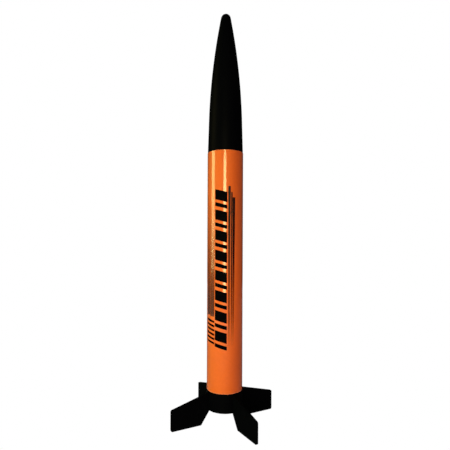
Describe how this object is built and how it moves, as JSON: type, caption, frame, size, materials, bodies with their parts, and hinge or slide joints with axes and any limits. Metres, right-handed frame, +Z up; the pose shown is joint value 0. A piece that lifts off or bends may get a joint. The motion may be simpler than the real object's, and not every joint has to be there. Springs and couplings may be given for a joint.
{
  "type": "model rocket",
  "caption": "Small flying model rocket: paper body tube, long plastic nose cone that pulls off, one-piece swept fin unit, motor mount and packed parachute.",
  "frame": {"origin": "on the rocket's axis, at the level of the fins' bottom edges, on which it stands", "axes": "+Z up along the body tube to the nose tip; the four fins lie along +X, +Y, -X and -Y"},
  "size_m": [0.1092, 0.1092, 0.3845],
  "materials": {
    "black_plastic": "satin moulded",
    "black_insert": "moulded",
    "orange_tube": "glossy printed paper",
    "kraft_tube": "plain spiral-wound paper",
    "fibre_ring": "cut fibre board",
    "clear_film_band": "polyester film",
    "lug_paper": "glossy paper tube",
    "spring_steel": "rolled strip",
    "elastic_cord": "braided elastic",
    "canopy_film": "thin polyethylene film",
    "line_thread": "twisted cotton line",
    "tape_disc": "self-adhesive paper",
    "black_film": "glossy printed film",
    "stripe_film": "glossy printed film that fades"
  },
  "bodies": {
    "airframe": {"fin_unit": "black_plastic", "body_tube": "orange_tube", "motor_tube": "kraft_tube", "thrust_ring": "fibre_ring", "front_centering_ring": "fibre_ring", "rear_centering_ring": "fibre_ring", "hook_band": "clear_film_band", "launch_lug": "lug_paper", "shock_cord_coil": "elastic_cord", "graphic_bars": "black_film", "accent_bars": "black_film", "pinstripes_right": "stripe_film", "pinstripes_left": "stripe_film"},
    "nose": {"nose_cone": "black_plastic", "nose_cone_base": "black_insert", "shock_cord_riser": "elastic_cord", "parachute_canopy": "canopy_film", "shroud_lines": "line_thread", "line_tape_discs": "tape_disc"},
    "hook": {"engine_hook": "spring_steel"}
  },
  "joints": [
    {"name": "nose_slide", "type": "slide", "parent": "airframe", "child": "nose", "axis": [0, 0, 1], "range_m": [0, 0.155], "deforming": ["shock_cord_coil"]},
    {"name": "hook_flex", "type": "hinge", "parent": "airframe", "child": "hook", "pos_m": [-0.00684, 0.00684, 0.0787], "axis": [0.7071, 0.7071, 0], "range_deg": [0, 3.2], "stiffness_Nm_per_rad": 5}
  ]
}
